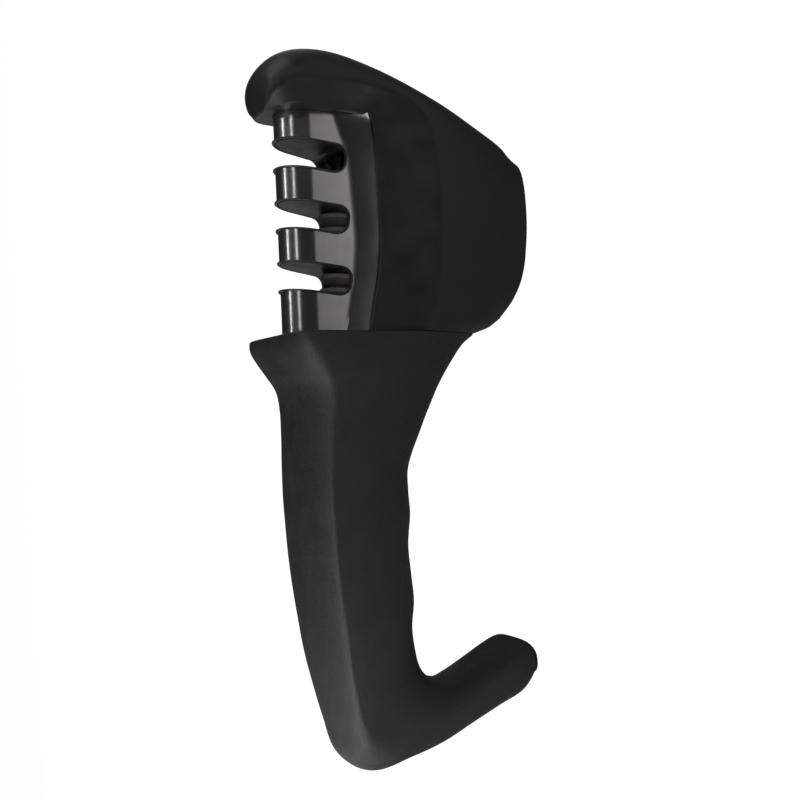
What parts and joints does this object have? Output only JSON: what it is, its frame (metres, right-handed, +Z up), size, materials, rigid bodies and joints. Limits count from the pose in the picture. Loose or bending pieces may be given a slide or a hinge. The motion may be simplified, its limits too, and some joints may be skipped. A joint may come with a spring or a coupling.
{
  "type": "knife sharpener",
  "caption": "Pull-through kitchen knife sharpener with a steel-covered slotted head, a flared base and a hooked finger-grip handle.",
  "frame": {"origin": "middle of the footprint's bounding box, on the surface it stands on", "axes": "+X from the tail of the handle to the nose, +Z up, +Y across to the left of someone looking along +X"},
  "size_m": [0.2183, 0.0538, 0.0781],
  "materials": {
    "black_plastic": "fine satin grain",
    "slot_plastic": "satin",
    "inner_plastic": "matte",
    "core_plastic": "matte",
    "hub_plastic": "satin",
    "grip_rubber": "soft-touch, fine grain",
    "pad_rubber": "matte",
    "cover_steel": "fine brushed, bright",
    "screw_steel": "plain",
    "carbide": "ground, dark",
    "diamond_grey": "fine diamond grit",
    "ceramic_dark": "fired ceramic, matte",
    "insert_brass": "plain"
  },
  "bodies": {
    "sharpener": {"head_housing": "black_plastic", "base_plate": "black_plastic", "base_pad": "pad_rubber", "base_screws": "screw_steel", "steel_cover": "cover_steel", "slot_block": "slot_plastic", "stage_chassis": "inner_plastic", "chassis_screws": "screw_steel", "carbide_holder": "inner_plastic", "carbide_clamp": "screw_steel", "carbide_plate_near": "carbide", "carbide_plate_far": "carbide", "carbide_screws": "screw_steel", "diamond_axle": "screw_steel", "ceramic_axle": "screw_steel", "handle_grip": "grip_rubber", "handle_core_left": "core_plastic", "handle_core_right": "core_plastic", "core_screws": "screw_steel", "handle_inserts": "insert_brass", "handle_screws": "screw_steel", "foot_pad": "pad_rubber"},
    "diamond_set": {"diamond_hub": "hub_plastic", "diamond_wheel_front": "diamond_grey", "diamond_wheel_rear": "diamond_grey"},
    "ceramic_set": {"ceramic_hub": "hub_plastic", "ceramic_wheel_front": "ceramic_dark", "ceramic_wheel_rear": "ceramic_dark"}
  },
  "joints": [
    {"name": "diamond_spin", "type": "hinge", "parent": "sharpener", "child": "diamond_set", "pos_m": [0.05492, 0, 0.04992], "axis": [0.9816, 0, -0.1908], "continuous": true},
    {"name": "ceramic_spin", "type": "hinge", "parent": "sharpener", "child": "ceramic_set", "pos_m": [0.03652, 0, 0.05063], "axis": [0.9816, 0, -0.1908], "continuous": true}
  ]
}
